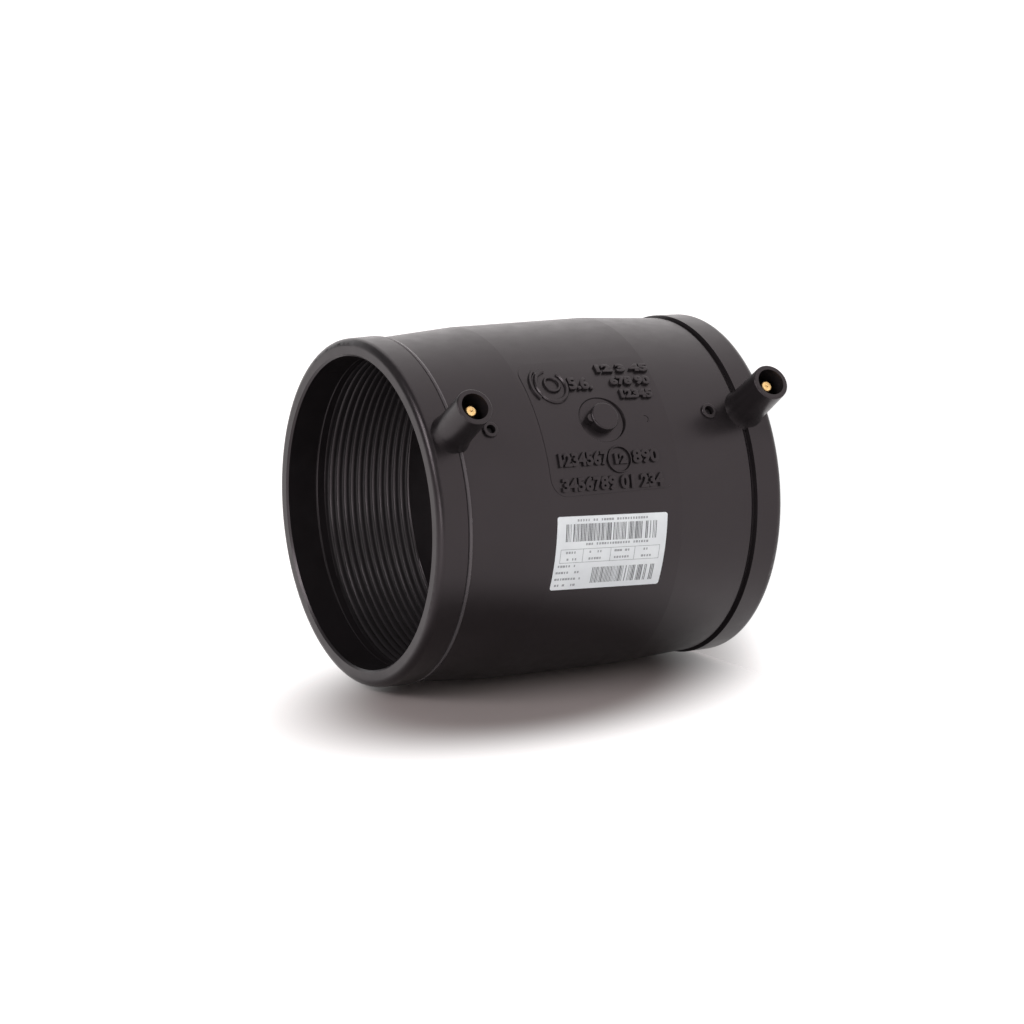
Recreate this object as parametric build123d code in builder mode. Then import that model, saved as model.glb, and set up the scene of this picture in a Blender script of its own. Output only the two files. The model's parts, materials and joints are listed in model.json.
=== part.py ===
"""Electrofusion coupler for 125 mm polyethylene pipe, in millimetres.

The bore lies on the Z axis and the coupler stands on its lower end face, at Z = 0.
The terminals, the gate and the fusion indicators face -Y, and the label is beside them.
Each half mirrors the other about the middle, so stations are measured from the middle.
"""
import os
from math import cos, radians, sin

from build123d import *

# Bore and wall
pipe_diameter = 125.0
pipe_clearance = 0.35  # radial, between pipe and bore
wall = 7.15  # from the bore to the collar
length = 156.8
mouth_chamfer = 0.8

# Outside, stepped from the collar's radius
collar_width = 12.4
collar_draft = 0.25
collar_edge_radius = 3.0
groove_width = 1.1  # along its floor
groove_depth = 2.0
shoulder_run = 1.1  # along the slope from the groove's floor up to the cone
cone_step = 1.0  # the cone's small end lies this much inside the collar
band_rise = 1.25  # the middle band stands this much outside the collar
band_width = 59.6

# Heating windings, wound from coated wire laid turn against turn
turn_count = 12
coated_wire = 3.3
bead_height = 0.6
winding_depth = 3.1
entry_land = 17.2  # from the end face to the first turn
land_groove_width = 0.8
land_groove_depth = 0.2
land_groove_inset = 3.4  # from the first turn towards the end face
moulding_gap = 0.05  # left round every piece that is moulded in

# Bare wire, between the windings and up to the terminals
bare_wire_radius = 0.5
lead_bend_radius = 1.6

# Terminal shrouds and pins
terminal_inset = 11.4  # from the end face to the terminal's axis
shroud_height = 23.3  # above the collar
shroud_root_radius = 7.75
shroud_mouth_radius = 7.45
shroud_flare = 1.2
shroud_flare_height = 3.6
shroud_rim_radius = 0.6
socket_floor_radius = 5.3
socket_mouth_radius = 5.55
socket_depth = 15.5
pin_radius = 2.35
pin_tip_recess = 3.6  # below the shroud's mouth
pin_tip_radius = 0.7
pin_dimple_radius = 0.6
pin_dimple_depth = 0.35
shank_radius = 3.1
shank_foot = 4.1  # above the bore
shank_groove_count = 3
shank_groove_pitch = 2.4
shank_groove_depth = 0.55
crimp_depth = 3.4

# Fusion indicators
indicator_inset = 28.6  # from the end face
indicator_boss_radius = 3.2
indicator_boss_height = 1.1
indicator_boss_edge = 0.4
indicator_hole_radius = 1.9
indicator_pin_radius = 1.75
indicator_pin_recess = 2.3
indicator_pin_edge = 0.3
indicator_floor = 0.9  # left over the winding

# Injection gate, at the middle
gate_dish_radius = 10.3
gate_dish_slope = 0.8
gate_dish_depth = 1.1
gate_stub_radius = 5.9
gate_stub_height = 3.1
gate_stub_edge = 0.8
gate_nub_radius = 1.7
gate_nub_drop = 0.9  # from the stub's top

# Marking panel and label
panel_width = 58.2
panel_height = 57.2
panel_corner = 7.0
panel_rise = 0.2
label_length = 50.0
label_width = 30.0
label_corner = 1.0
label_thickness = 0.2
label_azimuth = 43.1  # round from -Y towards -X
label_offset = 2.7  # above the middle
label_turn = -2.5

bore_radius = pipe_diameter / 2 + pipe_clearance
half_length = length / 2
collar_radius = bore_radius + wall
groove_radius = collar_radius - groove_depth
cone_radius = collar_radius - cone_step
band_radius = collar_radius + band_rise
groove_outer = half_length - collar_width
groove_inner = groove_outer - groove_width
cone_end = groove_inner - shoulder_run

winding_length = turn_count * coated_wire
winding_outer = half_length - entry_land
winding_inner = winding_outer - winding_length
winding_radius = bore_radius + winding_depth
wire_radius = bore_radius + winding_depth / 2

terminal_station = half_length - terminal_inset
shroud_top = collar_radius + shroud_height
shroud_start = winding_radius + moulding_gap + 0.5 * (groove_radius - winding_radius)
socket_floor = shroud_top - socket_depth
pin_tip = shroud_top - pin_tip_recess
pin_foot = bore_radius + shank_foot

indicator_station = half_length - indicator_inset
indicator_seat = winding_radius + moulding_gap + indicator_floor
gate_surface = band_radius + panel_rise
gate_floor = gate_surface - gate_dish_depth
gate_stub_top = gate_surface + gate_stub_height
gate_nub_top = gate_stub_top - gate_nub_drop

# Round the bore, sections are drawn with X outwards and Y up from the middle.
middle = Plane(origin=(0, 0, half_length), x_dir=(1, 0, 0), z_dir=(0, -1, 0))
# Wires run in the plane of the bore and the terminals, with X outwards along -Y.
front = Plane(origin=(0, 0, half_length), x_dir=(0, -1, 0), z_dir=(-1, 0, 0))
halves = {"upper": 1, "lower": -1}


def facing_plane(station):
    """A plane through a -Y facing feature: X across it, Y out from the bore's axis."""
    origin = (0, 0, half_length + station)
    return Plane(origin=origin, x_dir=(1, 0, 0), z_dir=(0, 0, -1))


def facing_axis(station):
    """The line from the bore's axis towards -Y at a station."""
    return Axis((0, 0, half_length + station), (0, -1, 0))


def outward_plane(radius, station):
    """A plane that faces -Y at a distance from the bore's axis."""
    origin = (0, -radius, half_length + station)
    return Plane(origin=origin, x_dir=(1, 0, 0), z_dir=(0, -1, 0))


def tangent_plane(azimuth, station):
    """A plane through the bore's axis, facing out at an azimuth from -Y towards -X."""
    outwards = (-sin(radians(azimuth)), -cos(radians(azimuth)), 0)
    across = (cos(radians(azimuth)), -sin(radians(azimuth)), 0)
    return Plane(origin=(0, 0, half_length + station), x_dir=across, z_dir=outwards)


def cone_surface(station):
    """The outer radius of the cone at a station."""
    slope = (band_radius - cone_radius) / (cone_end - band_width / 2)
    return cone_radius + slope * (cone_end - abs(station))


def wall_section():
    """The moulded wall, with a seat for each winding in its bore."""
    seat_radius = winding_radius + moulding_gap
    land_groove = winding_outer + land_groove_inset
    with BuildSketch(middle) as section:
        with BuildLine():
            Polyline(
                (bore_radius, 0),
                (bore_radius, winding_inner - moulding_gap),
                (seat_radius, winding_inner - moulding_gap),
                (seat_radius, winding_outer + moulding_gap),
                (bore_radius, winding_outer + moulding_gap),
                (bore_radius, land_groove - land_groove_width / 2),
                (bore_radius + land_groove_depth, land_groove),
                (bore_radius, land_groove + land_groove_width / 2),
                (bore_radius, half_length),
                (collar_radius - collar_draft, half_length),
                (collar_radius, groove_outer),
                (groove_radius, groove_outer),
                (groove_radius, groove_inner),
                (cone_radius, cone_end),
                (band_radius, band_width / 2),
                (band_radius, 0),
                close=True,
            )
        make_face()
        end_corners = section.vertices().group_by(Axis.Y)[-1].sort_by(Axis.X)
        fillet(end_corners[-1], radius=collar_edge_radius)
        end_corners = section.vertices().group_by(Axis.Y)[-1].sort_by(Axis.X)
        chamfer(end_corners[0], length=mouth_chamfer)
        mirror(about=Plane.XZ)
    return section.sketch


def winding_section(side):
    """One winding: rounded beads towards the bore, solid behind them."""
    with BuildSketch(middle) as section:
        with BuildLine():
            for turn in range(turn_count):
                start = winding_inner + turn * coated_wire
                ThreePointArc(
                    (bore_radius + bead_height, side * start),
                    (bore_radius, side * (start + coated_wire / 2)),
                    (bore_radius + bead_height, side * (start + coated_wire)),
                )
            Polyline(
                (bore_radius + bead_height, side * winding_inner),
                (winding_radius, side * winding_inner),
                (winding_radius, side * winding_outer),
                (bore_radius + bead_height, side * winding_outer),
            )
        make_face()
    return section.sketch


def shroud_section(station):
    """A terminal's shroud, from inside the wall up to its rounded rim."""
    root_height = collar_radius + shroud_flare_height
    with BuildSketch(facing_plane(station)) as section:
        with BuildLine():
            Polyline(
                (shroud_root_radius, root_height),
                (shroud_mouth_radius, shroud_top),
                (0, shroud_top),
                (0, shroud_start),
                (shroud_root_radius + shroud_flare, shroud_start),
                (shroud_root_radius + shroud_flare, groove_radius),
            )
            TangentArc(
                (shroud_root_radius, root_height),
                (shroud_root_radius + shroud_flare, groove_radius),
                tangent=(0, -1),
            )
        make_face()
        rim = section.vertices().group_by(Axis.Y)[-1].sort_by(Axis.X)[-1]
        fillet(rim, radius=shroud_rim_radius)
    return section.sketch


def socket_section(station):
    """The hollow inside a shroud, round its pin."""
    with BuildSketch(facing_plane(station)) as section:
        with BuildLine():
            Polyline(
                (0, socket_floor),
                (socket_floor_radius, socket_floor),
                (socket_mouth_radius, shroud_top),
                (0, shroud_top),
                close=True,
            )
        make_face()
    return section.sketch


def shank_outline(gap):
    """The grooved shank of a terminal pin, from its foot up to the socket's floor."""
    outline = [(shank_radius + gap, pin_foot - gap)]
    lowest = socket_floor - (shank_groove_count - 0.2) * shank_groove_pitch
    for index in range(shank_groove_count):
        height = lowest + index * shank_groove_pitch
        outline.append((shank_radius + gap, height - shank_groove_depth))
        outline.append((shank_radius + gap - shank_groove_depth, height))
        outline.append((shank_radius + gap, height + shank_groove_depth))
    outline.append((shank_radius + gap, socket_floor))
    return outline


def shank_seat_section(station):
    """The hole that a pin's shank leaves in the moulding."""
    with BuildSketch(facing_plane(station)) as section:
        with BuildLine():
            Polyline(
                (0, pin_foot - moulding_gap),
                *shank_outline(moulding_gap),
                (0, socket_floor),
                close=True,
            )
        make_face()
    return section.sketch


def pin_section(station):
    """A terminal pin, with a crimp hole in its foot and a dimple in its tip."""
    crimp_radius = bare_wire_radius + moulding_gap
    with BuildSketch(facing_plane(station)) as section:
        with BuildLine():
            Polyline(
                (0, pin_foot + crimp_depth),
                (crimp_radius, pin_foot + crimp_depth),
                (crimp_radius, pin_foot),
                *shank_outline(0),
                (pin_radius, socket_floor),
                (pin_radius, pin_tip),
                (pin_dimple_radius, pin_tip),
                (0, pin_tip - pin_dimple_depth),
                close=True,
            )
        make_face()
        tip_edge = section.vertices().group_by(Axis.Y)[-1].sort_by(Axis.X)[-1]
        fillet(tip_edge, radius=pin_tip_radius)
    return section.sketch


def lead_route(side):
    """From a winding's last turn, along the wall and up into the pin's crimp hole."""
    with BuildLine(front) as route:
        FilletPolyline(
            (wire_radius, side * winding_outer),
            (wire_radius, side * terminal_station),
            (pin_foot + crimp_depth, side * terminal_station),
            radius=lead_bend_radius,
        )
    return route.line


def crossover_route():
    """Straight across the cold zone, from one winding to the other, at the back."""
    with BuildLine(front) as route:
        Line((-wire_radius, -winding_inner), (-wire_radius, winding_inner))
    return route.line


def wire_section(route, radius):
    """A round section at the start of a wire's route."""
    with BuildSketch(Plane(origin=route @ 0, z_dir=route % 0)) as section:
        Circle(radius)
    return section.sketch


def indicator_section(station):
    """A fusion indicator's boss, from inside the wall up to its rounded rim."""
    surface = cone_surface(station)
    with BuildSketch(facing_plane(station)) as section:
        with BuildLine():
            Polyline(
                (0, surface - indicator_boss_height),
                (indicator_boss_radius, surface - indicator_boss_height),
                (indicator_boss_radius, surface + indicator_boss_height),
                (0, surface + indicator_boss_height),
                close=True,
            )
        make_face()
        rim = section.vertices().group_by(Axis.Y)[-1].sort_by(Axis.X)[-1]
        fillet(rim, radius=indicator_boss_edge)
    return section.sketch


def gate_dish_section():
    """The dish round the gate, open outwards."""
    clear = gate_surface + gate_dish_depth
    with BuildSketch(facing_plane(0)) as section:
        with BuildLine():
            Polyline(
                (0, gate_floor),
                (gate_dish_radius - gate_dish_slope, gate_floor),
                (gate_dish_radius, gate_surface),
                (gate_dish_radius, clear),
                (0, clear),
                close=True,
            )
        make_face()
    return section.sketch


def gate_stub_section():
    """The stub left where the gate was cut, with a rounded rim."""
    with BuildSketch(facing_plane(0)) as section:
        with BuildLine():
            Polyline(
                (0, gate_floor),
                (gate_stub_radius, gate_floor),
                (gate_stub_radius, gate_stub_top),
                (0, gate_stub_top),
                close=True,
            )
        make_face()
        rim = section.vertices().group_by(Axis.Y)[-1].sort_by(Axis.X)[-1]
        fillet(rim, radius=gate_stub_edge)
    return section.sketch


def wrapped_outline(azimuth, station, width, height, corner, turn):
    """A rounded rectangle on a plane that faces out at an azimuth."""
    with BuildSketch(tangent_plane(azimuth, station)) as outline:
        RectangleRounded(width, height, corner, rotation=turn)
    return outline.sketch


def ring(inner_radius, outer_radius):
    """A ring round the bore, on the lower end face."""
    with BuildSketch(Plane.XY) as outline:
        Circle(outer_radius)
        Circle(inner_radius, mode=Mode.SUBTRACT)
    return outline.sketch


def write(piece, name):
    """Label a finished piece and write its file."""
    piece.label = name
    export_step(piece, f"parts/{name}.step")


# Marking panel: a thin pad wrapped round the band, sunk as deep as it stands out
with BuildPart() as panel:
    extrude(
        wrapped_outline(0, 0, panel_width, panel_height, panel_corner, 0),
        amount=band_radius + wall,
    )
    extrude(
        ring(band_radius - panel_rise, band_radius + panel_rise),
        amount=length,
        mode=Mode.INTERSECT,
    )

# Moulded body: wall, panel, gate, shrouds and indicator bosses in one piece
with BuildPart() as body:
    revolve(wall_section(), axis=Axis.Z)
    add(panel.part)
    revolve(gate_dish_section(), axis=facing_axis(0), mode=Mode.SUBTRACT)
    revolve(gate_stub_section(), axis=facing_axis(0))
    with BuildSketch(outward_plane(gate_floor, gate_stub_radius)):
        Circle(gate_nub_radius)
    extrude(amount=gate_nub_top - gate_floor)

    for side in halves.values():
        terminal = side * terminal_station
        revolve(shroud_section(terminal), axis=facing_axis(terminal))
        revolve(socket_section(terminal), axis=facing_axis(terminal), mode=Mode.SUBTRACT)
        revolve(shank_seat_section(terminal), axis=facing_axis(terminal), mode=Mode.SUBTRACT)
        route = lead_route(side)
        sweep(
            wire_section(route, bare_wire_radius + moulding_gap),
            path=route,
            mode=Mode.SUBTRACT,
        )
        indicator = side * indicator_station
        revolve(indicator_section(indicator), axis=facing_axis(indicator))
        with BuildSketch(outward_plane(indicator_seat, indicator)):
            Circle(indicator_hole_radius)
        extrude(amount=collar_radius - indicator_seat + wall, mode=Mode.SUBTRACT)

    crossover = crossover_route()
    sweep(
        wire_section(crossover, bare_wire_radius + moulding_gap),
        path=crossover,
        mode=Mode.SUBTRACT,
    )

# Wire that joins the two windings, buried in the wall
with BuildPart() as crossover_wire:
    sweep(wire_section(crossover, bare_wire_radius), path=crossover)

# Label, stuck on the band beside the marking panel
with BuildPart() as label:
    extrude(
        wrapped_outline(
            label_azimuth, label_offset, label_width, label_length, label_corner, label_turn
        ),
        amount=band_radius + wall,
    )
    extrude(
        ring(band_radius, band_radius + label_thickness),
        amount=length,
        mode=Mode.INTERSECT,
    )

os.makedirs("parts", exist_ok=True)
write(body.part, "body")
write(crossover_wire.part, "crossover_wire")
write(label.part, "label")

# The same pieces in each half: winding, lead wire, terminal pin and indicator pin
for half, side in halves.items():
    with BuildPart() as winding:
        revolve(winding_section(side), axis=Axis.Z)

    with BuildPart() as lead_wire:
        route = lead_route(side)
        sweep(wire_section(route, bare_wire_radius), path=route)

    with BuildPart() as terminal_pin:
        station = side * terminal_station
        revolve(pin_section(station), axis=facing_axis(station))

    with BuildPart() as indicator_pin:
        station = side * indicator_station
        with BuildSketch(outward_plane(indicator_seat, station)):
            Circle(indicator_pin_radius)
        top = cone_surface(station) + indicator_boss_height - indicator_pin_recess
        extrude(amount=top - indicator_seat)
        chamfer(indicator_pin.edges().sort_by(Axis.Y)[0], length=indicator_pin_edge)

    write(winding.part, f"winding_{half}")
    write(lead_wire.part, f"lead_wire_{half}")
    write(terminal_pin.part, f"terminal_pin_{half}")
    write(indicator_pin.part, f"indicator_pin_{half}")
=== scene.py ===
import bmesh
import bpy
import json
from math import cos, pi, radians, sin
from mathutils import Matrix, Vector


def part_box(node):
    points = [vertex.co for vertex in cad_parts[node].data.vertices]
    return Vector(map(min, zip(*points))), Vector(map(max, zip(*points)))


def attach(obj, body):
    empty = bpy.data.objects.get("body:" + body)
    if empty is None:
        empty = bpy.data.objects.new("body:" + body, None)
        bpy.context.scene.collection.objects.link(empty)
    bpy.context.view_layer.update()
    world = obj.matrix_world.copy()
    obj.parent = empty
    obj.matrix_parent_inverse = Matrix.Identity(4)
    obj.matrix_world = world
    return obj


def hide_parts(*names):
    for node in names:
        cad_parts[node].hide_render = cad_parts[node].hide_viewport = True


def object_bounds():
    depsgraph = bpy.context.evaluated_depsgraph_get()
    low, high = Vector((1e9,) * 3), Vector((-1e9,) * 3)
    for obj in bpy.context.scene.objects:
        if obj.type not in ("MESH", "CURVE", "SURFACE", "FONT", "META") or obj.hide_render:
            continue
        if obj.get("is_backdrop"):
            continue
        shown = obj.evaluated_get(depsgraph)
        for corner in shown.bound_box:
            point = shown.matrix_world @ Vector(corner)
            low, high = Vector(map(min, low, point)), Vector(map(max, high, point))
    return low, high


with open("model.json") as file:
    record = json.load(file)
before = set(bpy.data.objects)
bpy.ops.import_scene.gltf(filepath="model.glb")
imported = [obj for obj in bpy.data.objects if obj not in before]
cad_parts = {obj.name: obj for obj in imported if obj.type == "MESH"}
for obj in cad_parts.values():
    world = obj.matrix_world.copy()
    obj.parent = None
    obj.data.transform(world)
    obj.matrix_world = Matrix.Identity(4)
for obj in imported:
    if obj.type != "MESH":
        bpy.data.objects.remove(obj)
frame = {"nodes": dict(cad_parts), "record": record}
cad_low, cad_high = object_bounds()

MM = 0.001
nodes = frame["nodes"]
mounts = {m["name"]: m for m in frame["record"]["mounts"]}


# ---------------------------------------------------------------- positions
def middle_of(node):
    low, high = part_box(node)
    return (low + high) / 2


half_height = (cad_low.z + cad_high.z) / 2
band_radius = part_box("body")[1].x
panel_radius = band_radius + 0.2 * MM
bore_radius = mounts["pipe_bore"]["dims"]["r_mm"] * MM
terminal_station = middle_of("terminal_pin_upper").z - half_height
label_surface = panel_radius
label_azimuth = 43.1
label_station = 2.7 * MM
label_turn = -2.5


# ---------------------------------------------------------------- camera
centre = Vector((0, 0, half_height))
camera_data = bpy.data.cameras.new("coupler_camera")
camera_data.lens = 146.229
camera_data.sensor_width = 36
camera = bpy.data.objects.new("coupler_camera", camera_data)
bpy.context.scene.collection.objects.link(camera)
turn = (
    Matrix.Rotation(radians(-22.709), 4, "Z")
    @ Matrix.Rotation(radians(90 - 28.819), 4, "X")
    @ Matrix.Rotation(radians(-95.57), 4, "Z")
)
camera.matrix_world = Matrix.Translation((-0.57656, -1.36369, 0.90110)) @ turn
camera_data.clip_start, camera_data.clip_end = 0.1, 60
bpy.context.scene.camera = camera


# ---------------------------------------------------------------- node trees
class Graph:
    """Adds nodes to a tree and links them, one call for each node."""

    def __init__(self, tree):
        self.tree = tree

    def add(self, kind, inputs=None, **settings):
        node = self.tree.nodes.new(kind)
        for key, value in settings.items():
            setattr(node, key, value)
        for key, value in (inputs or {}).items():
            socket = node.inputs[key]
            if isinstance(value, bpy.types.NodeSocket):
                self.tree.links.new(value, socket)
            else:
                socket.default_value = value
        return node

    def math(self, operation, a, b=0.0, c=0.0):
        node = self.add("ShaderNodeMath", {0: a, 1: b, 2: c}, operation=operation)
        return node.outputs[0]

    def remap(self, value, low, high, to_low, to_high, kind="LINEAR"):
        node = self.add(
            "ShaderNodeMapRange",
            {"Value": value, "From Min": low, "From Max": high, "To Min": to_low, "To Max": to_high},
            interpolation_type=kind,
        )
        return node.outputs["Result"]


# ---------------------------------------------------------------- finishes
class Finish:
    """A material whose patterns lie on Object coordinates."""

    def __init__(self, name, **constants):
        self.material = bpy.data.materials.new(name)
        self.material.use_nodes = True
        self.graph = Graph(self.material.node_tree)
        self.shader = self.material.node_tree.nodes["Principled BSDF"]
        for key, value in constants.items():
            self.shader.inputs[key.replace("_", " ")].default_value = value
        self.place = self.graph.add("ShaderNodeTexCoord").outputs["Object"]

    def noise(self, period, detail=2.0, roughness=0.5, stretch=None):
        vector = self.place
        if stretch:
            mapping = self.graph.add("ShaderNodeMapping", {"Vector": vector, "Scale": stretch})
            vector = mapping.outputs["Vector"]
        node = self.graph.add(
            "ShaderNodeTexNoise",
            {"Vector": vector, "Scale": 1 / period, "Detail": detail, "Roughness": roughness},
        )
        return node.outputs["Fac"]

    def colour(self, value, low, high, low_at=0.35, high_at=0.65):
        share = self.graph.remap(value, low_at, high_at, 0.0, 1.0)
        mix = self.graph.add("ShaderNodeMix", {0: share, 6: (*low, 1), 7: (*high, 1)}, data_type="RGBA")
        self.shader_link(mix.outputs[2], "Base Color")

    def gloss(self, value, low, high):
        self.shader_link(self.graph.remap(value, 0.3, 0.7, low, high), "Roughness")

    def relief(self, *layers):
        """Bump from (height, depth in metres) layers, the coarsest first."""
        normal = None
        for height, depth in layers:
            inputs = {"Height": height, "Distance": depth, "Strength": 1.0}
            if normal:
                inputs["Normal"] = normal
            normal = self.graph.add("ShaderNodeBump", inputs).outputs["Normal"]
        self.shader_link(normal, "Normal")

    def shader_link(self, output, socket):
        self.graph.tree.links.new(output, self.shader.inputs[socket])


def moulded_polyethylene(name, dark, light, smooth, rough, grain):
    """Black plastic. A grain of 1 is the coupler's own."""
    finish = Finish(name, IOR=1.5, Specular_IOR_Level=0.40, Specular_Tint=(1.0, 0.87, 0.92, 1.0))
    drift = finish.noise(28 * MM, 3)
    finish.colour(drift, dark, light)
    finish.gloss(finish.noise(6 * MM, 4), smooth, rough)
    finish.relief(
        (finish.noise(5 * MM, 2), 0.012 * MM * grain), (finish.noise(0.35 * MM, 3), 0.008 * MM * grain)
    )
    return finish.material


body_finish = moulded_polyethylene(
    "moulded_polyethylene", (0.0085, 0.0070, 0.0076), (0.0108, 0.0090, 0.0098), 0.28, 0.35, 1.0
)
winding_finish = moulded_polyethylene(
    "wire_coating", (0.0115, 0.010, 0.0107), (0.015, 0.0131, 0.014), 0.28, 0.36, 0.08
)
indicator_finish = moulded_polyethylene(
    "indicator_plastic", (0.006, 0.0055, 0.006), (0.009, 0.0085, 0.009), 0.42, 0.5, 0.6
)


def turned_brass():
    finish = Finish("turned_brass", Metallic=1.0)
    graph = finish.graph
    finish.colour(finish.noise(1.4 * MM, 3), (0.78, 0.50, 0.20), (0.90, 0.63, 0.30))
    finish.gloss(finish.noise(0.8 * MM, 3), 0.24, 0.36)
    axes = graph.add("ShaderNodeSeparateXYZ", {"Vector": finish.place})
    along = graph.math("ABSOLUTE", graph.math("SUBTRACT", axes.outputs["Z"], half_height))
    aside = graph.math("SUBTRACT", along, terminal_station)
    squares = graph.math("ADD", graph.math("POWER", aside, 2.0), graph.math("POWER", axes.outputs["X"], 2.0))
    rings = graph.math("SINE", graph.math("MULTIPLY", graph.math("SQRT", squares), 2 * pi / (0.16 * MM)))
    finish.relief((rings, 0.006 * MM), (finish.noise(0.3 * MM, 2), 0.004 * MM))
    return finish.material


def drawn_wire():
    finish = Finish("drawn_wire", Metallic=1.0)
    finish.colour(finish.noise(0.9 * MM, 3), (0.62, 0.30, 0.17), (0.74, 0.38, 0.23))
    finish.gloss(finish.noise(0.5 * MM, 3, stretch=(6, 6, 1)), 0.22, 0.34)
    finish.relief((finish.noise(0.12 * MM, 2, stretch=(8, 8, 1)), 0.004 * MM))
    return finish.material


def printed_film():
    finish = Finish("label_film", IOR=1.46)
    finish.colour(finish.noise(9 * MM, 3), (0.80, 0.81, 0.835), (0.87, 0.88, 0.90))
    finish.gloss(finish.noise(5 * MM, 3), 0.36, 0.46)
    finish.relief((finish.noise(4 * MM, 2), 0.02 * MM), (finish.noise(0.25 * MM, 2), 0.003 * MM))
    return finish.material


def printing_ink(name, dark, light):
    finish = Finish(name, IOR=1.45)
    finish.colour(finish.noise(0.5 * MM, 4), dark, light)
    finish.gloss(finish.noise(2 * MM, 2), 0.42, 0.55)
    return finish.material


brass_finish = turned_brass()
wire_finish = drawn_wire()
film_finish = printed_film()
bar_ink = printing_ink("bar_ink", (0.10, 0.10, 0.11), (0.17, 0.17, 0.18))
line_ink = printing_ink("line_ink", (0.30, 0.30, 0.31), (0.42, 0.42, 0.44))

node_finish = {
    "body": body_finish,
    "label": film_finish,
    "crossover_wire": wire_finish,
}
for half in ("upper", "lower"):
    node_finish[f"winding_{half}"] = winding_finish
    node_finish[f"lead_wire_{half}"] = wire_finish
    node_finish[f"terminal_pin_{half}"] = brass_finish
    node_finish[f"indicator_pin_{half}"] = indicator_finish
for name, finish in node_finish.items():
    node = nodes[name]
    if not node.material_slots:
        node.data.materials.append(finish)
    for material_slot in node.material_slots:
        material_slot.material = finish


# ---------------------------------------------------------------- geometry node tools
def new_tree(name, sockets, with_geometry):
    """A geometry node tree with named inputs. Returns (tree, graph, input node)."""
    tree = bpy.data.node_groups.new(name, "GeometryNodeTree")
    if with_geometry:
        tree.interface.new_socket("Geometry", in_out="INPUT", socket_type="NodeSocketGeometry")
    for label, kind in sockets:
        tree.interface.new_socket(label, in_out="INPUT", socket_type="NodeSocket" + kind)
    tree.interface.new_socket("Geometry", in_out="OUTPUT", socket_type="NodeSocketGeometry")
    graph = Graph(tree)
    return tree, graph, graph.add("NodeGroupInput")


def close_tree(graph, geometry, entry):
    """Every tree ends in Realize Instances and Set Material."""
    real = graph.add("GeometryNodeRealizeInstances", {"Geometry": geometry})
    dressed = graph.add(
        "GeometryNodeSetMaterial",
        {"Geometry": real.outputs[0], "Material": entry.outputs["Material"]},
    )
    graph.add("NodeGroupOutput", {0: dressed.outputs[0]})


def grown(name, tree, values, base=None):
    """The tree's result as a plain mesh."""
    mesh = base or bpy.data.meshes.new(name + "_base")
    carrier = bpy.data.objects.new(name + "_carrier", mesh)
    bpy.context.scene.collection.objects.link(carrier)
    modifier = carrier.modifiers.new("grow", "NODES")
    modifier.node_group = tree
    for item in tree.interface.items_tree:
        if item.in_out == "INPUT" and item.name in values:
            modifier[item.identifier] = values[item.name]
    bpy.context.view_layer.update()
    result = bpy.data.meshes.new_from_object(
        carrier.evaluated_get(bpy.context.evaluated_depsgraph_get())
    )
    bpy.data.objects.remove(carrier)
    return result


def make_piece(name, mesh, replaced=(), recalculate=True, smooth_angle=35):
    """A finished piece at the origin, riding on the coupler."""
    work = bmesh.new()
    work.from_mesh(mesh)
    bmesh.ops.remove_doubles(work, verts=work.verts, dist=1e-7)
    if recalculate:
        bmesh.ops.recalc_face_normals(work, faces=work.faces)
    work.to_mesh(mesh)
    work.free()
    mesh.name = name
    piece = bpy.data.objects.new(name, mesh)
    bpy.context.scene.collection.objects.link(piece)
    if smooth_angle:
        mesh.shade_smooth()
        mesh.set_sharp_from_angle(angle=radians(smooth_angle))
    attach(piece, "root")
    if replaced:
        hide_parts(*replaced)
    return piece


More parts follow.
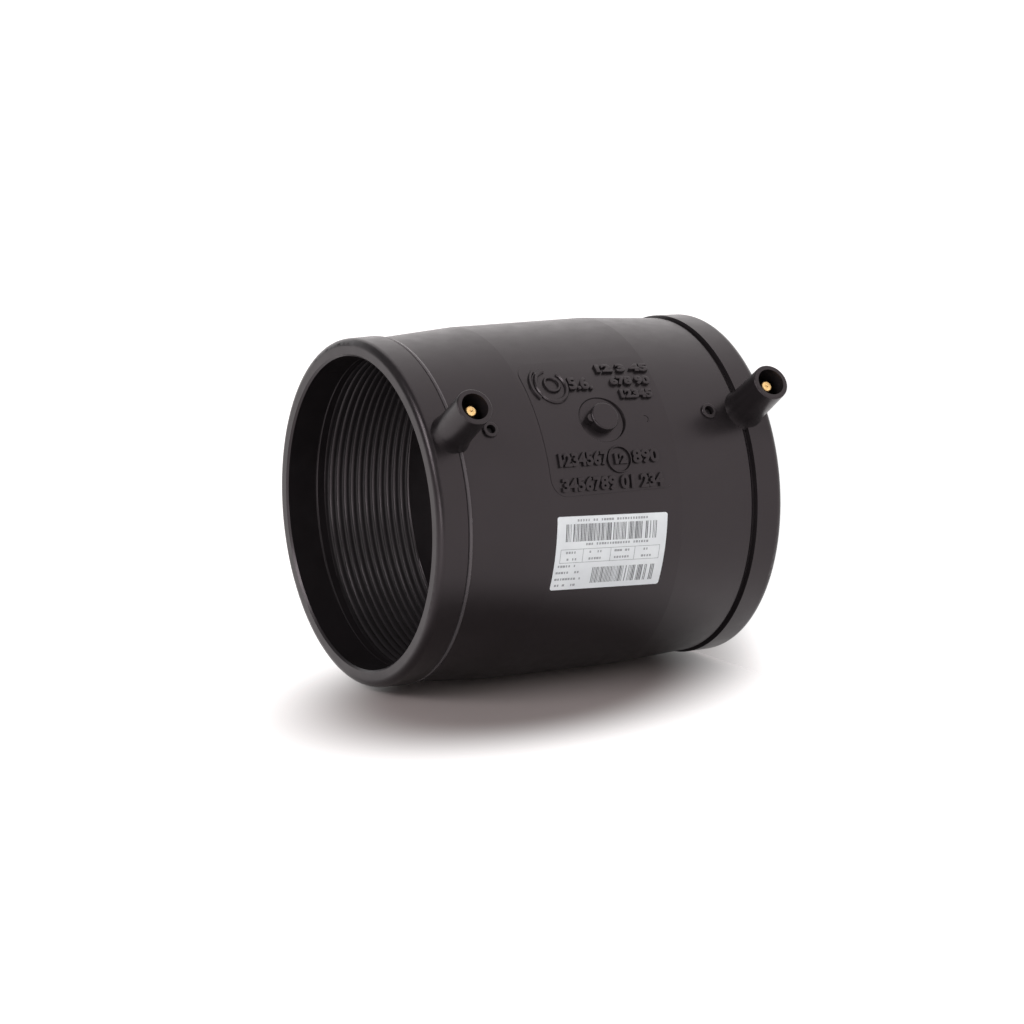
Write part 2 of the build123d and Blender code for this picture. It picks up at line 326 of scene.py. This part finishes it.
def winding_tree():
    """Rounded beads on a helix, closed behind them as the moulded winding is."""
    sockets = [
        ("Bottom", "Float"), ("Top", "Float"), ("Crest Radius", "Float"), ("Outer Radius", "Float"),
        ("Bead Height", "Float"), ("Pitch", "Float"), ("Turns", "Int"), ("Unevenness", "Float"),
        ("Seed", "Float"), ("Material", "Material"),
    ]
    tree, g, entry = new_tree("winding_beads", sockets, False)
    value = entry.outputs
    around, steps = 180, 12
    columns = g.math("MULTIPLY", g.math("ADD", value["Turns"], 1.0), float(steps))
    count = g.math("ADD", columns, 4.0)
    height = g.math("SUBTRACT", count, 1.0)
    grid = g.add(
        "GeometryNodeMeshGrid",
        {"Size X": 1.0, "Size Y": height, "Vertices X": around + 1, "Vertices Y": count},
    )
    spot = g.add("ShaderNodeSeparateXYZ", {"Vector": g.add("GeometryNodeInputPosition").outputs[0]})
    share = g.math("ADD", spot.outputs["X"], 0.5)
    column = g.math("ROUND", g.math("ADD", spot.outputs["Y"], g.math("DIVIDE", height, 2.0)))
    turn_at = g.math("SUBTRACT", g.math("DIVIDE", g.math("SUBTRACT", column, 1.0), float(steps)), 1.0)
    offset = g.math("MULTIPLY", g.math("ADD", turn_at, share), value["Pitch"])
    angle = g.math("MULTIPLY", share, 2 * pi)
    direction = g.add(
        "ShaderNodeCombineXYZ", {"X": g.math("COSINE", angle), "Y": g.math("SINE", angle), "Z": 0.0}
    )
    ripple_at = g.add(
        "ShaderNodeCombineXYZ",
        {
            "X": g.math("MULTIPLY", g.math("COSINE", angle), 1.6),
            "Y": g.math("MULTIPLY", g.math("SINE", angle), 1.6),
            "Z": g.math("ADD", g.math("MULTIPLY", offset, 260.0), value["Seed"]),
        },
    )
    ripple = g.add("ShaderNodeTexNoise", {"Vector": ripple_at.outputs[0], "Scale": 1.0, "Detail": 1.0})
    wander = g.math(
        "MULTIPLY", g.math("SUBTRACT", ripple.outputs["Fac"], 0.5), value["Unevenness"]
    )
    place = g.math("ADD", g.math("ADD", value["Bottom"], offset), wander)
    level = g.math("MINIMUM", g.math("MAXIMUM", place, value["Bottom"]), value["Top"])
    # The bead is an arc: its chord is the pitch and its rise is the bead height.
    half_pitch = g.math("DIVIDE", value["Pitch"], 2.0)
    rise = value["Bead Height"]
    arc_radius = g.math(
        "DIVIDE",
        g.math("ADD", g.math("POWER", half_pitch, 2.0), g.math("POWER", rise, 2.0)),
        g.math("MULTIPLY", rise, 2.0),
    )
    across = g.math("MULTIPLY", g.math("SUBTRACT", g.math("FRACT", turn_at), 0.5), value["Pitch"])
    arc = g.math(
        "SUBTRACT",
        arc_radius,
        g.math("SQRT", g.math("SUBTRACT", g.math("POWER", arc_radius, 2.0), g.math("POWER", across, 2.0))),
    )
    bead_radius = g.math("ADD", value["Crest Radius"], arc)
    last = g.math("SUBTRACT", height, 1.5)
    first = g.math("LESS_THAN", column, 0.5)
    beyond = g.math("GREATER_THAN", column, last)
    outer = g.math("MAXIMUM", first, beyond)
    closing = g.math("GREATER_THAN", column, g.math("SUBTRACT", height, 0.5))
    at_bottom = g.math("MAXIMUM", first, closing)
    radius = g.math(
        "ADD",
        g.math("MULTIPLY", bead_radius, g.math("SUBTRACT", 1.0, outer)),
        g.math("MULTIPLY", value["Outer Radius"], outer),
    )
    end_level = g.math(
        "ADD",
        g.math("MULTIPLY", value["Bottom"], at_bottom),
        g.math("MULTIPLY", value["Top"], g.math("SUBTRACT", 1.0, at_bottom)),
    )
    final_level = g.math(
        "ADD",
        g.math("MULTIPLY", level, g.math("SUBTRACT", 1.0, outer)),
        g.math("MULTIPLY", end_level, outer),
    )
    flat = g.add("ShaderNodeVectorMath", {0: direction.outputs[0], "Scale": radius}, operation="SCALE")
    up = g.add("ShaderNodeCombineXYZ", {"X": 0.0, "Y": 0.0, "Z": final_level})
    position = g.add("ShaderNodeVectorMath", {0: flat.outputs[0], 1: up.outputs[0]}, operation="ADD")
    moved = g.add(
        "GeometryNodeSetPosition", {"Geometry": grid.outputs["Mesh"], "Position": position.outputs[0]}
    )
    joined = g.add("GeometryNodeMergeByDistance", {"Geometry": moved.outputs[0], "Distance": 1e-6})
    close_tree(g, joined.outputs[0], entry)
    return tree


def wrap_tree():
    """Bends flat work (X along the reading line, Y up it, Z outwards) round the coupler."""
    sockets = [
        ("Radius", "Float"), ("Azimuth", "Float"), ("Level", "Float"), ("Turn", "Float"),
        ("Material", "Material"),
    ]
    tree, g, entry = new_tree("wrap_round_coupler", sockets, True)
    value = entry.outputs
    turned = g.add(
        "ShaderNodeVectorRotate",
        {
            "Vector": g.add("GeometryNodeInputPosition").outputs[0],
            "Angle": value["Turn"],
        },
        rotation_type="Z_AXIS",
    )
    spot = g.add("ShaderNodeSeparateXYZ", {"Vector": turned.outputs[0]})
    angle = g.math("SUBTRACT", value["Azimuth"], g.math("DIVIDE", spot.outputs["Y"], value["Radius"]))
    reach = g.math("MULTIPLY", g.math("ADD", value["Radius"], spot.outputs["Z"]), -1.0)
    position = g.add(
        "ShaderNodeCombineXYZ",
        {
            "X": g.math("MULTIPLY", reach, g.math("SINE", angle)),
            "Y": g.math("MULTIPLY", reach, g.math("COSINE", angle)),
            "Z": g.math("SUBTRACT", value["Level"], spot.outputs["X"]),
        },
    )
    moved = g.add(
        "GeometryNodeSetPosition", {"Geometry": value["Geometry"], "Position": position.outputs[0]}
    )
    close_tree(g, moved.outputs[0], entry)
    return tree


def bar_row_tree():
    """A row of upright bars, their widths and gaps drawn from a seed."""
    sockets = [
        ("Count", "Int"), ("Pitch", "Float"), ("Height", "Float"), ("Depth", "Float"),
        ("Narrow", "Float"), ("Wide", "Float"), ("Missing", "Float"), ("Seed", "Int"),
        ("Material", "Material"),
    ]
    tree, g, entry = new_tree("bar_row", sockets, False)
    value = entry.outputs
    length = g.math("MULTIPLY", g.math("SUBTRACT", value["Count"], 1.0), value["Pitch"])
    start = g.add("ShaderNodeCombineXYZ", {"X": g.math("MULTIPLY", length, -0.5), "Y": 0.0, "Z": 0.0})
    step = g.add("ShaderNodeCombineXYZ", {"X": value["Pitch"], "Y": 0.0, "Z": 0.0})
    line = g.add(
        "GeometryNodeMeshLine",
        {"Count": value["Count"], "Start Location": start.outputs[0], "Offset": step.outputs[0]},
    )
    left_out = g.add(
        "FunctionNodeRandomValue",
        {6: value["Missing"], "Seed": g.math("ADD", value["Seed"], 400.0)},
        data_type="BOOLEAN",
    )
    kept = g.add(
        "GeometryNodeDeleteGeometry",
        {"Geometry": line.outputs[0], "Selection": left_out.outputs[3]},
        domain="POINT",
    )
    size = g.add("ShaderNodeCombineXYZ", {"X": 1.0, "Y": 1.0, "Z": 1.0})
    bar = g.add(
        "GeometryNodeMeshCube",
        {"Size": size.outputs[0], "Vertices X": 2, "Vertices Y": 6, "Vertices Z": 2},
    )
    chance = g.add(
        "FunctionNodeRandomValue",
        {2: value["Narrow"], 3: value["Wide"], "Seed": value["Seed"]},
        data_type="FLOAT",
    )
    scale = g.add(
        "ShaderNodeCombineXYZ", {"X": chance.outputs[1], "Y": value["Height"], "Z": value["Depth"]}
    )
    placed = g.add(
        "GeometryNodeInstanceOnPoints",
        {"Points": kept.outputs[0], "Instance": bar.outputs[0], "Scale": scale.outputs[0]},
    )
    close_tree(g, placed.outputs[0], entry)
    return tree


winding_beads = winding_tree()
wrap_round = wrap_tree()
bar_row = bar_row_tree()


def moved_mesh(mesh, x, y, z=0.0):
    mesh.transform(Matrix.Translation((x, y, z)))
    return mesh


def joined_meshes(name, meshes):
    work = bmesh.new()
    for mesh in meshes:
        work.from_mesh(mesh)
    result = bpy.data.meshes.new(name)
    work.to_mesh(result)
    work.free()
    return result


def wrapped(name, flat, radius, azimuth, station, material, turn=0.0):
    values = {
        "Radius": radius,
        "Azimuth": radians(azimuth),
        "Level": half_height + station,
        "Turn": radians(turn),
        "Material": material,
    }
    return grown(name, wrap_round, values, base=flat)


# ---------------------------------------------------------------- windings
turn_count = 12
for half, seed in (("upper", 3.0), ("lower", 11.0)):
    low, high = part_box(f"winding_{half}")
    values = {
        "Bottom": low.z,
        "Top": high.z,
        "Crest Radius": bore_radius,
        "Outer Radius": high.x,
        "Bead Height": 0.6 * MM,
        "Pitch": (high.z - low.z) / turn_count,
        "Turns": turn_count,
        "Unevenness": 0.25 * MM,
        "Seed": seed,
        "Material": winding_finish,
    }
    coil = grown(f"winding_coil_{half}", winding_beads, values)
    make_piece(
        f"winding_coil_{half}", coil, replaced=(f"winding_{half}",), smooth_angle=60
    )


# ---------------------------------------------------------------- raised marks on the panel
def raised_figures(text, height, depth, width):
    """Plain raised figures as a flat mesh of this width, centred on Z = 0."""
    curve = bpy.data.curves.new("figures", "FONT")
    curve.body = text
    curve.size = height / 0.73
    curve.align_x = "CENTER"
    curve.align_y = "CENTER"
    curve.extrude = depth / 2
    curve.bevel_depth = 0.15 * MM
    curve.bevel_resolution = 1
    curve.offset = 0.19 * MM
    curve.resolution_u = 3
    holder = bpy.data.objects.new("figures_holder", curve)
    bpy.context.scene.collection.objects.link(holder)
    bpy.context.view_layer.update()
    mesh = bpy.data.meshes.new_from_object(holder.evaluated_get(bpy.context.evaluated_depsgraph_get()))
    bpy.data.objects.remove(holder)
    reach = [vertex.co.x for vertex in mesh.vertices]
    mesh.transform(Matrix.Diagonal((width / (max(reach) - min(reach)), 1, 1, 1)))
    return mesh


def raised_ring(radius, width, depth, squash=1.0, start=0.0, sweep=360.0):
    """A raised ring or arc with a rounded crown."""
    work = bmesh.new()
    count = max(8, int(48 * sweep / 360))
    closed = sweep >= 359
    profile = [(-0.5, -0.5), (-0.5, 0.2), (-0.25, 0.5), (0.25, 0.5), (0.5, 0.2), (0.5, -0.5)]
    rows = []
    for index in range(count if closed else count + 1):
        angle = radians(start) + radians(sweep) * index / count
        row = []
        for across, level in profile:
            reach = radius + across * width
            row.append(work.verts.new((reach * cos(angle), reach * squash * sin(angle), level * depth)))
        rows.append(row)
    pairs = list(zip(rows, rows[1:] + rows[:1])) if closed else list(zip(rows, rows[1:]))
    for one, two in pairs:
        for index in range(len(profile)):
            after = (index + 1) % len(profile)
            work.faces.new((one[index], one[after], two[after], two[index]))
    if not closed:
        work.faces.new(rows[0])
        work.faces.new(list(reversed(rows[-1])))
    bmesh.ops.recalc_face_normals(work, faces=work.faces)
    mesh = bpy.data.meshes.new("raised_ring")
    work.to_mesh(mesh)
    work.free()
    return mesh


def panel_piece(name, flat, azimuth, station, turn=0.0):
    """Raised work wrapped onto the marking panel."""
    make_piece(
        name,
        wrapped(name, flat, panel_radius, azimuth, station * MM, body_finish, turn),
    )


mark_depth = 2.0 * MM
line_height = 5.1 * MM
row_height = 3.7 * MM
figures_one = joined_meshes("figures_one", [
    moved_mesh(raised_figures("1234567", line_height, mark_depth, 22.5 * MM), -12.6 * MM, 0.6 * MM),
    moved_mesh(raised_figures("890", line_height, mark_depth, 12.0 * MM), 16.1 * MM, 0.4 * MM),
    moved_mesh(raised_ring(5.1 * MM, 0.8 * MM, mark_depth), 4.2 * MM, 0),
    moved_mesh(raised_figures("12", 3.9 * MM, mark_depth, 5.6 * MM), 4.2 * MM, 0),
])
panel_piece("panel_figures_upper", figures_one, 13.7, 1.2, -1.3)
figures_two = joined_meshes("figures_two", [
    moved_mesh(raised_figures("3456789", line_height, mark_depth, 24.5 * MM), -10.9 * MM, 0),
    moved_mesh(raised_figures("01", line_height, mark_depth, 6.2 * MM), 7.0 * MM, 0),
    moved_mesh(raised_figures("234", line_height, mark_depth, 10.4 * MM), 17.6 * MM, 0),
])
panel_piece("panel_figures_lower", figures_two, 21.1, 1.4, -1.3)
emblem = joined_meshes("emblem", [
    raised_ring(6.4 * MM, 1.8 * MM, mark_depth, 1.22, 100, 310),
    moved_mesh(raised_ring(3.1 * MM, 1.4 * MM, mark_depth, 1.1), 0.3 * MM, 0.4 * MM),
    moved_mesh(raised_ring(8.3 * MM, 1.5 * MM, mark_depth, 1.12, 128, 95), -0.6 * MM, 0),
    moved_mesh(raised_figures("5.6.", 5.6 * MM, mark_depth, 10.6 * MM), 12.4 * MM, -0.2 * MM),
])
panel_piece("panel_emblem", emblem, -13.8, 16.8, -3.5)
short_rows = joined_meshes("short_rows", [
    moved_mesh(raised_figures("12 3 45", row_height, mark_depth, 23.5 * MM), -1.0 * MM, 6.6 * MM),
    moved_mesh(raised_figures("678 90", row_height, mark_depth, 18.0 * MM), 0.7 * MM, 0),
    moved_mesh(raised_figures("12345", row_height, mark_depth, 14.4 * MM), 1.1 * MM, -6.4 * MM),
])
panel_piece("panel_short_rows", short_rows, -12.8, -17.5, -3.5)
crescent = raised_ring(1.5 * MM, 0.4 * MM, 0.5 * MM, 1.0, -60, 150)
panel_piece("panel_crescent", crescent, 1.2, -19.2)


# ---------------------------------------------------------------- label print
print_depth = 0.03 * MM
print_lift = 0.3 * print_depth
rule_width = 0.2 * MM


def flat_bar(x, y, width, height):
    work = bmesh.new()
    bmesh.ops.create_cube(work, size=1.0)
    bmesh.ops.subdivide_edges(
        work,
        edges=[e for e in work.edges if abs(e.verts[0].co.y - e.verts[1].co.y) > 0.5],
        cuts=max(1, int(height / (2 * MM))),
    )
    bmesh.ops.scale(work, vec=(width, height, print_depth), verts=work.verts)
    bmesh.ops.translate(work, vec=(x, y, print_lift), verts=work.verts)
    mesh = bpy.data.meshes.new("bar")
    work.to_mesh(mesh)
    work.free()
    return mesh


def printed_bars(x, y, count, pitch, height, narrow, wide, missing, seed, ink):
    values = {
        "Count": count, "Pitch": pitch * MM, "Height": height * MM, "Depth": print_depth,
        "Narrow": narrow * MM, "Wide": wide * MM, "Missing": missing, "Seed": seed, "Material": ink,
    }
    return moved_mesh(grown("printed_bars", bar_row, values), x * MM, y * MM, print_lift)


barcodes = joined_meshes("barcodes", [
    printed_bars(-0.4, 8.6, 62, 0.67, 7.0, 0.14, 0.55, 0.12, 7, bar_ink),
    printed_bars(6.6, -9.3, 44, 0.67, 6.8, 0.14, 0.55, 0.12, 19, bar_ink),
])
# Lines of small print: (x, y, letters, seed)
print_lines = [
    (0.5, 13.5, 28, 31), (2.5, 3.9, 24, 33),
    (-19.4, -4.9, 7, 35), (-18.6, -7.6, 9, 37), (-18.0, -10.4, 10, 39), (-18.8, -13.1, 8, 41),
    (-17.6, 0.7, 5, 51), (-7.0, 0.7, 5, 52), (5.2, 0.7, 6, 53), (16.6, 0.7, 5, 54),
    (-17.6, -2.1, 4, 55), (-7.0, -2.1, 5, 56), (5.2, -2.1, 6, 57), (16.6, -2.1, 4, 58),
]
small_print = [
    printed_bars(x, y, count, 1.2, 0.9, 0.5, 1.1, 0.12, seed, line_ink) for x, y, count, seed in print_lines
]
for level in (2.0, -3.5):
    small_print.append(flat_bar(-0.2 * MM, level * MM, 45.4 * MM, rule_width))
for across in (-22.8, -12.6, 0.0, 11.0, 22.4):
    small_print.append(flat_bar(across * MM, -0.75 * MM, rule_width, 5.5 * MM))
make_piece(
    "label_barcodes",
    wrapped("label_barcodes", barcodes, label_surface, label_azimuth, label_station, bar_ink, label_turn),
    smooth_angle=None,
)
make_piece(
    "label_small_print",
    wrapped(
        "label_small_print", joined_meshes("small_print", small_print), label_surface, label_azimuth,
        label_station, line_ink, label_turn,
    ),
    smooth_angle=None,
)


# ---------------------------------------------------------------- shoulder bead
# The upper end of the cone is rounded where it drops to the groove behind the collar; the bead's pale grey
# colour is a painted highlight on the black plastic.
shoulder_station = 64.55 * MM
shoulder_radius = band_radius - 2.4 * MM
shoulder_bead = 1.0 * MM


def shoulder_ring(around=300, about=10):
    """The bead as a closed ring round the cone's upper end."""
    points, faces = [], []
    for i in range(around):
        turn_angle = 2 * pi * i / around
        for k in range(about):
            roll = 2 * pi * k / about
            radius = shoulder_radius + shoulder_bead * cos(roll)
            height = half_height + shoulder_station + shoulder_bead * sin(roll)
            points.append((radius * cos(turn_angle), radius * sin(turn_angle), height))
            ahead, above = (i + 1) % around, (k + 1) % about
            faces.append((i * about + k, ahead * about + k, ahead * about + above, i * about + above))
    mesh = bpy.data.meshes.new("shoulder_ring")
    mesh.from_pydata(points, [], faces)
    return mesh


# Pale grey where the body is near black: a painted highlight along the shoulder line.
shoulder_highlight_finish = moulded_polyethylene(
    "painted_highlight_polyethylene", (0.060, 0.053, 0.056), (0.080, 0.071, 0.075), 0.20, 0.30, 0.3
)
shoulder = shoulder_ring()
shoulder.materials.append(shoulder_highlight_finish)
make_piece("shoulder_bead", shoulder)


# ---------------------------------------------------------------- stage
# The camera is turned so that the standing coupler is seen as it lies: "up" is up in its picture.
up = Vector((0.8304, -0.5573, 0.0)).normalized()
back = turn.to_3x3().col[2]
front = (back - up * back.dot(up)).normalized()
left = Vector((0, 0, 1))
side = left.cross(up)


def seen_directly(graph):
    """1 for camera, glossy and transmission rays."""
    rays = graph.add("ShaderNodeLightPath").outputs
    bounced = graph.math("MAXIMUM", rays["Is Glossy Ray"], rays["Is Transmission Ray"])
    return graph.math("MAXIMUM", rays["Is Camera Ray"], bounced)


# The patch in front of the coupler in which the ground's glow fades: a painted shadow under the coupler.
shadow_patch_middle, shadow_patch_half_width = 1 * MM, 116 * MM
shadow_patch_ahead, shadow_patch_half_depth = 26 * MM, 124 * MM
shadow_patch_half_height = 35 * MM
shadow_patch_inner, shadow_patch_outer = 0.50, 1.20


def painted_shadow_fade(graph):
    """0 on the ground just in front of the coupler, 1 away from it, alike on both sheets; the dip to 0 paints
    a shadow there.
    """
    place = graph.add("ShaderNodeTexCoord").outputs["Object"]
    spot = graph.add("ShaderNodeVectorMath", {0: place, 1: centre}, operation="SUBTRACT").outputs[0]

    def reach(axis):
        return graph.add("ShaderNodeVectorMath", {0: spot, 1: axis}, operation="DOT_PRODUCT").outputs["Value"]

    def squared(length, offset, half_width):
        share = graph.math("DIVIDE", graph.math("SUBTRACT", length, offset), half_width)
        return graph.math("POWER", share, 2.0)

    ahead = graph.math("MULTIPLY", reach(side), 1 / front.dot(side))
    along = graph.math("SUBTRACT", reach(left), graph.math("MULTIPLY", ahead, front.z))
    flat = graph.math(
        "ADD", squared(along, shadow_patch_middle, shadow_patch_half_width), squared(ahead, shadow_patch_ahead, shadow_patch_half_depth)
    )
    height = squared(reach(up), -band_radius, shadow_patch_half_height)
    distance = graph.math("SQRT", graph.math("ADD", flat, height))
    return graph.remap(distance, shadow_patch_inner, shadow_patch_outer, 0.0, 1.0, "SMOOTHSTEP")


def stage_finish(name, one_sided):
    material = bpy.data.materials.new(name)
    material.use_nodes = True
    tree = material.node_tree
    tree.nodes.clear()
    g = Graph(tree)
    # The glow fading near the coupler paints a shadow on the ground.
    strength = g.math("MULTIPLY", seen_directly(g), painted_shadow_fade(g))
    diffuse = g.add("ShaderNodeBsdfDiffuse", {"Color": (0.32, 0.275, 0.27, 1)})
    glow = g.add("ShaderNodeEmission", {"Color": (1, 1, 1, 1), "Strength": strength})
    surface = g.add("ShaderNodeAddShader", {0: diffuse.outputs[0], 1: glow.outputs[0]}).outputs[0]
    if one_sided:
        clear = g.add("ShaderNodeBsdfTransparent")
        facing = g.add("ShaderNodeNewGeometry")
        surface = g.add(
            "ShaderNodeMixShader", {0: facing.outputs["Backfacing"], 1: surface, 2: clear.outputs[0]}
        ).outputs[0]
    g.add("ShaderNodeOutputMaterial", {"Surface": surface})
    return material


def stage_plane(name, centre_point, normal, size, material):
    mesh = bpy.data.meshes.new(name)
    work = bmesh.new()
    rotation = normal.to_track_quat("Z", "Y").to_matrix().to_4x4()
    bmesh.ops.create_grid(
        work, x_segments=1, y_segments=1, size=size / 2,
        matrix=Matrix.Translation(centre_point) @ rotation,
    )
    work.to_mesh(mesh)
    work.free()
    mesh.materials.append(material)
    plane = bpy.data.objects.new(name, mesh)
    bpy.context.scene.collection.objects.link(plane)
    # Neither sheet dims the other or tints the coupler: each keeps only the coupler's shadow.
    plane.visible_diffuse = False
    plane.visible_shadow = False
    plane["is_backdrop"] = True
    return plane


stage_plane("floor", Vector((0, 0, 0)), Vector((0, 0, 1)), 30, stage_finish("pale_floor", False))
stage_plane(
    "backdrop", centre - up * (band_radius + 0.4 * MM), up, 30,
    stage_finish("pale_backdrop", True),
)

# ---------------------------------------------------------------- light
world = bpy.data.worlds.new("studio")
bpy.context.scene.world = world
world.use_nodes = True
world.node_tree.nodes.clear()
sky = Graph(world.node_tree)
direct = sky.add("ShaderNodeLightPath").outputs["Is Camera Ray"]
strength = sky.add("ShaderNodeMix", {0: direct, 2: 0.20, 3: 1.0}, data_type="FLOAT").outputs[0]
plain = sky.add("ShaderNodeBackground", {"Color": (1, 1, 1, 1), "Strength": strength})
sky.add("ShaderNodeOutputWorld", {"Surface": plain.outputs[0]})


def softbox(name, towards, spread, strength):
    """A wide, soft lamp far away in a direction, its spread in degrees."""
    data = bpy.data.lights.new(name, "SUN")
    data.energy = strength * pi
    data.angle = radians(spread)
    lamp = bpy.data.objects.new(name, data)
    bpy.context.scene.collection.objects.link(lamp)
    lamp.rotation_mode = "QUATERNION"
    lamp.rotation_quaternion = towards.normalized().to_track_quat("Z", "Y")
    lamp.location = centre + towards.normalized()


softbox("front_softbox", front - left * 0.8 + up * 0.45, 50, 0.33)
softbox("fill_softbox", front * 0.9 + left * 0.45 - up * 0.05, 28, 0.40)
softbox("edge_softbox", up * 0.35 - front * 0.9, 40, 0.20)
softbox("rim_softbox", up * 0.2 - front, 24, 0.10)
softbox("top_softbox", up * 0.75 - front * 0.65, 40, 0.20)
softbox("end_softbox", left * 0.5 - front * 0.85 + up * 0.12, 40, 0.12)
softbox("ridge_softbox", Vector((0.34, -0.48, 0.81)), 30, 0.55)

bpy.context.scene.view_settings.view_transform = "Standard"

low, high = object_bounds()
